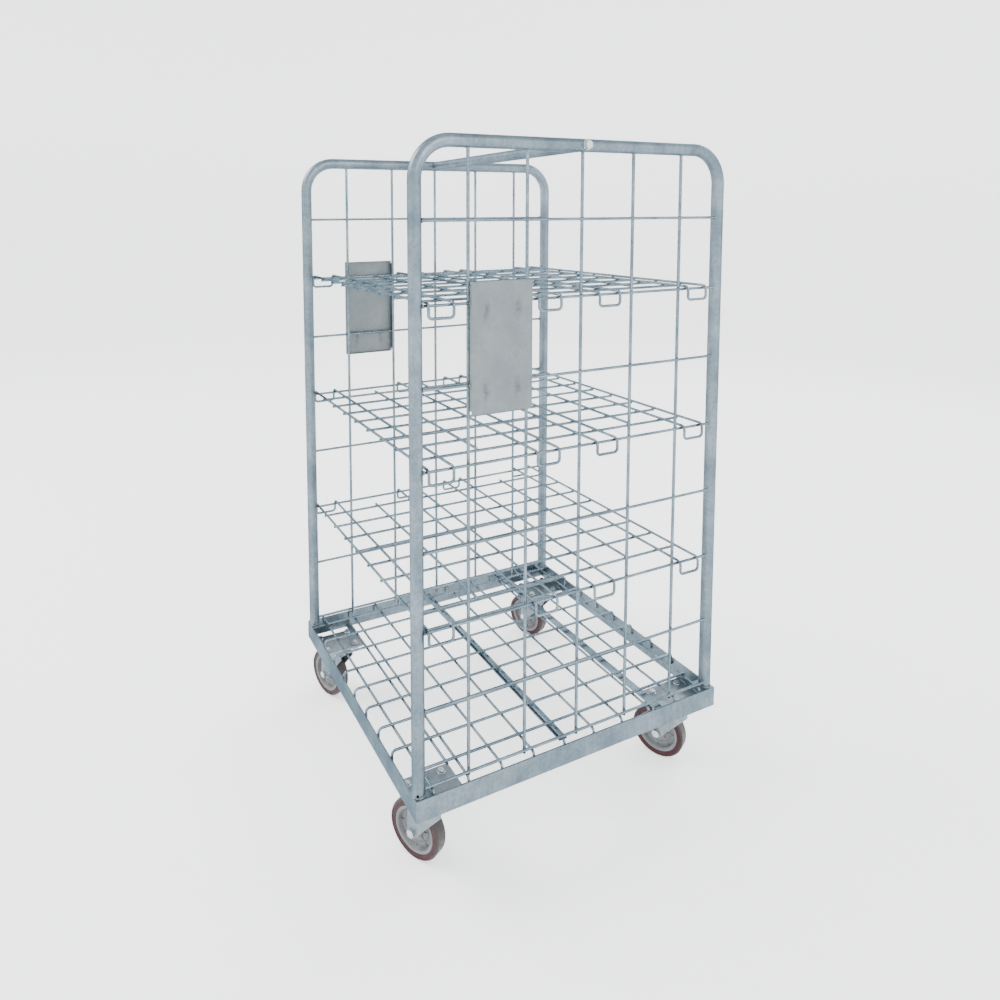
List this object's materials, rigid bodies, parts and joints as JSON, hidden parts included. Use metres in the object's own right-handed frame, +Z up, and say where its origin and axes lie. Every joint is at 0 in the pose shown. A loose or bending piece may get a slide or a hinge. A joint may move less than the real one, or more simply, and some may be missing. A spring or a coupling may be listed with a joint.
{
  "type": "roll cage container",
  "caption": "Wheeled wire cage container with tube-framed sides, a wire deck, lift-off wire shelves, a tie bar and swivel casters.",
  "frame": {"origin": "on the floor, at the middle of the whole part's bounding box; the middle of the base is 13.3 mm from it towards +X", "axes": "+X to the right side, +Y to the open rear, +Z up; the open front is at -Y"},
  "size_m": [0.7436, 0.8, 1.5035],
  "materials": {
    "frame_zinc": "dull hot-dip zinc on tube and rails, grey with a faint blue-green cast and low gloss",
    "wire_zinc": "bright zinc-plated wire, satin with sharp highlights",
    "sheet_zinc": "galvanised pressed sheet with faint spangle and scuffs",
    "bright_fastener": "bright zinc-plated bolts and nuts",
    "bush_steel": "plain turned steel",
    "wheel_plastic": "moulded grey plastic, slightly chalky",
    "tread": "dark maroon polyurethane tread, satin"
  },
  "bodies": {
    "frame": {"base_rail_front": "frame_zinc", "base_rail_rear": "frame_zinc", "base_rail_left": "frame_zinc", "base_rail_right": "frame_zinc", "corner_caps": "frame_zinc", "caster_mounting_plates": "sheet_zinc", "deck_long_bars": "wire_zinc", "deck_cross_bars": "wire_zinc", "deck_support_strips": "wire_zinc", "side_tube_left": "frame_zinc", "side_tube_right": "frame_zinc", "side_upright_wires_left": "wire_zinc", "side_upright_wires_right": "wire_zinc", "side_level_wires_left": "wire_zinc", "side_level_wires_right": "wire_zinc", "document_plate_left": "sheet_zinc", "document_plate_right": "sheet_zinc", "tie_bar": "frame_zinc", "tie_bar_plugs": "bright_fastener", "tie_bar_bolts": "bright_fastener", "caster_bolts": "bright_fastener", "caster_nuts": "bright_fastener", "caster_head_front_right": "sheet_zinc", "caster_head_rear_right": "sheet_zinc", "caster_head_front_left": "sheet_zinc", "caster_head_rear_left": "sheet_zinc", "swivel_balls": "bush_steel"},
    "shelf_lower": {"shelf_lower_hooks": "wire_zinc", "shelf_lower_long_wires": "wire_zinc", "shelf_lower_cross_wires": "wire_zinc"},
    "shelf_middle": {"shelf_middle_hooks": "wire_zinc", "shelf_middle_long_wires": "wire_zinc", "shelf_middle_cross_wires": "wire_zinc"},
    "shelf_upper": {"shelf_upper_hooks": "wire_zinc", "shelf_upper_long_wires": "wire_zinc", "shelf_upper_cross_wires": "wire_zinc"},
    "swivel_front_right": {"caster_fork_front_right": "sheet_zinc", "caster_axle_front_right": "bright_fastener"},
    "wheel_front_right": {"wheel_core_front_right": "wheel_plastic", "wheel_tread_front_right": "tread", "wheel_bush_front_right": "bush_steel"},
    "swivel_rear_right": {"caster_fork_rear_right": "sheet_zinc", "caster_axle_rear_right": "bright_fastener"},
    "wheel_rear_right": {"wheel_core_rear_right": "wheel_plastic", "wheel_tread_rear_right": "tread", "wheel_bush_rear_right": "bush_steel"},
    "swivel_front_left": {"caster_fork_front_left": "sheet_zinc", "caster_axle_front_left": "bright_fastener"},
    "wheel_front_left": {"wheel_core_front_left": "wheel_plastic", "wheel_tread_front_left": "tread", "wheel_bush_front_left": "bush_steel"},
    "swivel_rear_left": {"caster_fork_rear_left": "sheet_zinc", "caster_axle_rear_left": "bright_fastener"},
    "wheel_rear_left": {"wheel_core_rear_left": "wheel_plastic", "wheel_tread_rear_left": "tread", "wheel_bush_rear_left": "bush_steel"}
  },
  "joints": [
    {"name": "lift_shelf_lower", "type": "slide", "parent": "frame", "child": "shelf_lower", "axis": [0, 0, 1], "range_m": [0, 0.09]},
    {"name": "lift_shelf_middle", "type": "slide", "parent": "frame", "child": "shelf_middle", "axis": [0, 0, 1], "range_m": [0, 0.09]},
    {"name": "lift_shelf_upper", "type": "slide", "parent": "frame", "child": "shelf_upper", "axis": [0, 0, 1], "range_m": [0, 0.09]},
    {"name": "swivel_front_right", "type": "hinge", "parent": "frame", "child": "swivel_front_right", "pos_m": [0.30332, -0.336, 0.15], "axis": [0, 0, 1], "continuous": true},
    {"name": "spin_front_right", "type": "hinge", "parent": "swivel_front_right", "child": "wheel_front_right", "pos_m": [0.27303, -0.35144, 0.0625], "axis": [-0.454, 0.891, 0], "continuous": true},
    {"name": "swivel_rear_right", "type": "hinge", "parent": "frame", "child": "swivel_rear_right", "pos_m": [0.30332, 0.336, 0.15], "axis": [0, 0, 1], "continuous": true},
    {"name": "spin_rear_right", "type": "hinge", "parent": "swivel_rear_right", "child": "wheel_rear_right", "pos_m": [0.27276, 0.3211, 0.0625], "axis": [-0.4384, 0.8988, 0], "continuous": true},
    {"name": "swivel_front_left", "type": "hinge", "parent": "frame", "child": "swivel_front_left", "pos_m": [-0.27668, -0.336, 0.15], "axis": [0, 0, 1], "continuous": true},
    {"name": "spin_front_left", "type": "hinge", "parent": "swivel_front_left", "child": "wheel_front_left", "pos_m": [-0.30883, -0.34707, 0.0625], "axis": [-0.3256, 0.9455, 0], "continuous": true},
    {"name": "swivel_rear_left", "type": "hinge", "parent": "frame", "child": "swivel_rear_left", "pos_m": [-0.27668, 0.336, 0.15], "axis": [0, 0, 1], "continuous": true},
    {"name": "spin_rear_left", "type": "hinge", "parent": "swivel_rear_left", "child": "wheel_rear_left", "pos_m": [-0.30883, 0.32493, 0.0625], "axis": [-0.3256, 0.9455, 0], "continuous": true}
  ]
}
